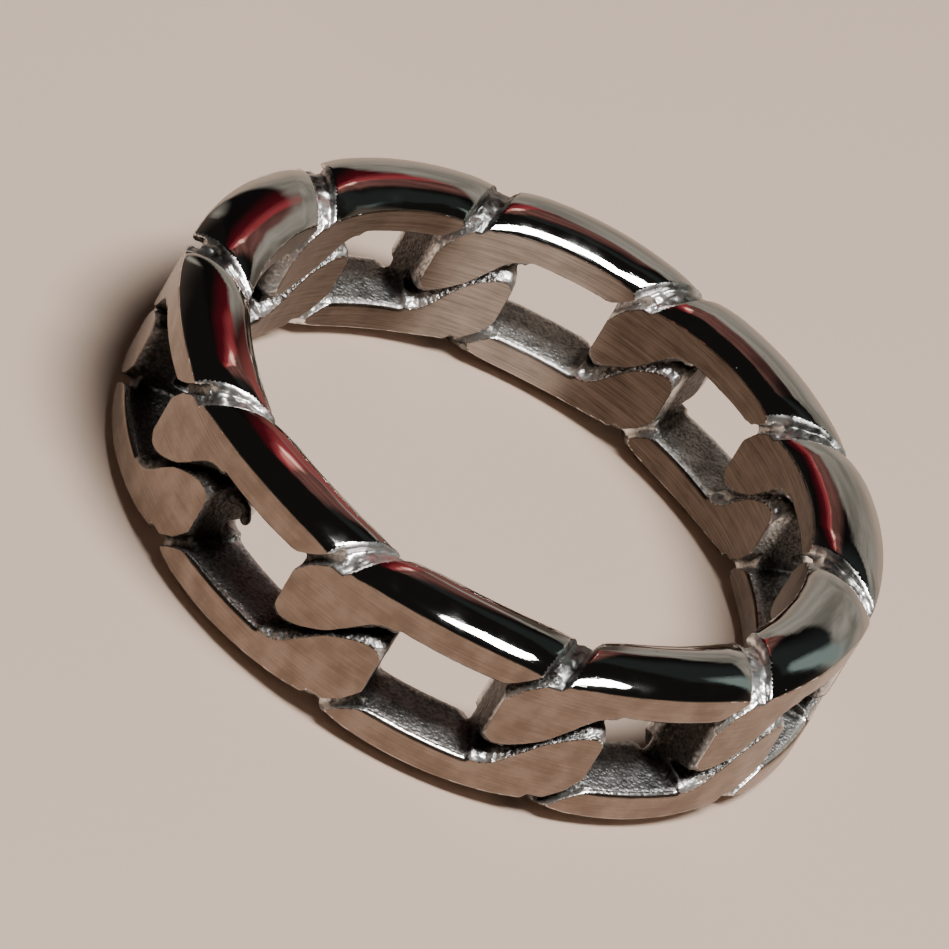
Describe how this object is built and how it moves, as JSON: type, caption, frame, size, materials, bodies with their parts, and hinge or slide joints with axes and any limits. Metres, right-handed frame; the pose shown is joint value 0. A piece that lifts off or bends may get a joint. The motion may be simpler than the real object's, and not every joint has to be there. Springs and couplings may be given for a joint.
{
  "type": "chain link ring",
  "caption": "Rigid finger ring: a closed band of flat-cut curb chain links with domed bars, cast and fused where the links cross.",
  "frame": {"origin": "on the ring's axis, level with the lowest crests of the band, so the ring lies on its side on Z = 0", "axes": "+Z along the ring's axis, +X through the middle of the first link"},
  "size_m": [0.0238, 0.0238, 0.006],
  "materials": {
    "steel": "polished"
  },
  "bodies": {
    "root": {"chain_link_band": "steel"}
  },
  "joints": []
}
